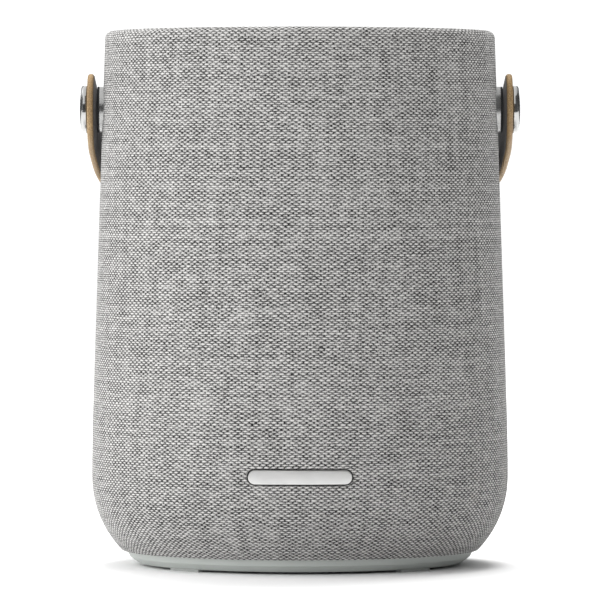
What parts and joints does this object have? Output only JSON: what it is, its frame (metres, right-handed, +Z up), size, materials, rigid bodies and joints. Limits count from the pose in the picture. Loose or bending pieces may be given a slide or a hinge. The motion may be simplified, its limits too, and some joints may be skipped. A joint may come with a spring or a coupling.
{
  "type": "portable smart speaker",
  "caption": "Portable smart speaker: rounded fabric-covered drum with a leather carry strap hinged at its sides, a recessed button panel on top and a charging pad below.",
  "frame": {"origin": "on the body's vertical axis, at the level of the surface the feet stand on, 0.8 mm below the charging pad", "axes": "+Z up along the body's axis; -Y towards the front with the badge; the strap's pivots lie along X and the strap hangs behind, at +Y"},
  "size_m": [0.1418, 0.1456, 0.1716],
  "materials": {
    "woven_fabric": "plain-weave melange cloth, light grey over charcoal",
    "tan_leather": "full-grain, satin",
    "strap_lining": "black backing, matt",
    "base_plastic": "grey-green, fine texture",
    "deck_plastic": "grey-green, soft touch",
    "black_plastic": "moulded, matt",
    "button_plastic": "soft touch",
    "dark_plastic": "moulded, matt",
    "clear_plastic": "frosted light guide",
    "polished_steel": "turned and polished",
    "satin_steel": "satin",
    "badge_metal": "satin anodised",
    "rubber_foot": "matt",
    "rubber_black": "matt",
    "foam": "closed-cell foam",
    "paper_cone": "woven pulp cone",
    "spider_cloth": "resin-treated cotton",
    "copper_coil": "enamelled winding",
    "ferrite": "sintered, matt",
    "zinc_steel": "zinc plated",
    "battery_wrap": "shrink sleeve",
    "circuit_board": "solder mask",
    "heat_sink_metal": "anodised",
    "contact_brass": "gold plated"
  },
  "bodies": {
    "cabinet": {"fabric_sleeve": "woven_fabric", "grille_frame": "black_plastic", "enclosure_tub": "dark_plastic", "enclosure_lid": "dark_plastic", "front_baffle": "black_plastic", "baffle_gasket": "foam", "woofer_basket": "zinc_steel", "woofer_cone": "paper_cone", "woofer_surround": "rubber_black", "woofer_dust_cap": "paper_cone", "woofer_spider": "spider_cloth", "voice_coil": "copper_coil", "woofer_magnet": "ferrite", "woofer_yoke": "zinc_steel", "woofer_top_plate": "zinc_steel", "tweeter_faceplate": "black_plastic", "tweeter_dome": "paper_cone", "tweeter_magnet": "zinc_steel", "driver_screws": "zinc_steel", "battery_holder": "black_plastic", "battery_cells": "battery_wrap", "main_board": "circuit_board", "heat_sink": "heat_sink_metal", "base_ring": "base_plastic", "base_plate": "base_plastic", "base_screws": "zinc_steel", "dock_pad": "rubber_black", "dock_contacts": "contact_brass", "foot_front_right": "rubber_foot", "foot_rear_right": "rubber_foot", "foot_rear_left": "rubber_foot", "foot_front_left": "rubber_foot", "control_deck": "deck_plastic", "button_board": "circuit_board", "tact_switches": "zinc_steel", "light_guides": "clear_plastic", "badge": "badge_metal", "port_panel": "deck_plastic", "port_board": "circuit_board", "usb_c_socket": "satin_steel", "pivot_boss_right": "satin_steel", "pivot_boss_left": "satin_steel", "pivot_pin_right": "satin_steel", "pivot_pin_left": "satin_steel", "rivet_cap_right": "polished_steel", "rivet_cap_left": "polished_steel", "strap_washer_right": "rubber_black", "strap_washer_left": "rubber_black"},
    "handle": {"strap_leather": "tan_leather", "strap_lining": "strap_lining", "strap_eyelet_right": "satin_steel", "strap_eyelet_left": "satin_steel"},
    "play": {"play_button": "dark_plastic"},
    "volume_up": {"volume_up_button": "button_plastic"},
    "volume_down": {"volume_down_button": "button_plastic"},
    "pairing": {"pairing_button": "button_plastic"},
    "assistant": {"assistant_button": "button_plastic"},
    "power": {"power_button": "dark_plastic"},
    "mute": {"mute_slider": "dark_plastic"}
  },
  "joints": [
    {"name": "strap_swing", "type": "hinge", "parent": "cabinet", "child": "handle", "pos_m": [0, 0, 0.1464], "axis": [1, 0, 0], "range_deg": [0, 232.2]},
    {"name": "play_press", "type": "slide", "parent": "cabinet", "child": "play", "axis": [0, 0, -1], "range_m": [0, 0.0006], "stiffness_N_per_m": 800},
    {"name": "volume_up_press", "type": "slide", "parent": "cabinet", "child": "volume_up", "axis": [0, 0, -1], "range_m": [0, 0.0006], "stiffness_N_per_m": 800},
    {"name": "volume_down_press", "type": "slide", "parent": "cabinet", "child": "volume_down", "axis": [0, 0, -1], "range_m": [0, 0.0006], "stiffness_N_per_m": 800},
    {"name": "pairing_press", "type": "slide", "parent": "cabinet", "child": "pairing", "axis": [0, 0, -1], "range_m": [0, 0.0006], "stiffness_N_per_m": 800},
    {"name": "assistant_press", "type": "slide", "parent": "cabinet", "child": "assistant", "axis": [0, 0, -1], "range_m": [0, 0.0006], "stiffness_N_per_m": 800},
    {"name": "power_press", "type": "slide", "parent": "cabinet", "child": "power", "axis": [0, -1, 0], "range_m": [0, 0.0006], "stiffness_N_per_m": 800},
    {"name": "mute_slide", "type": "slide", "parent": "cabinet", "child": "mute", "axis": [0, 0, 1], "range_m": [0, 0.0025]}
  ]
}
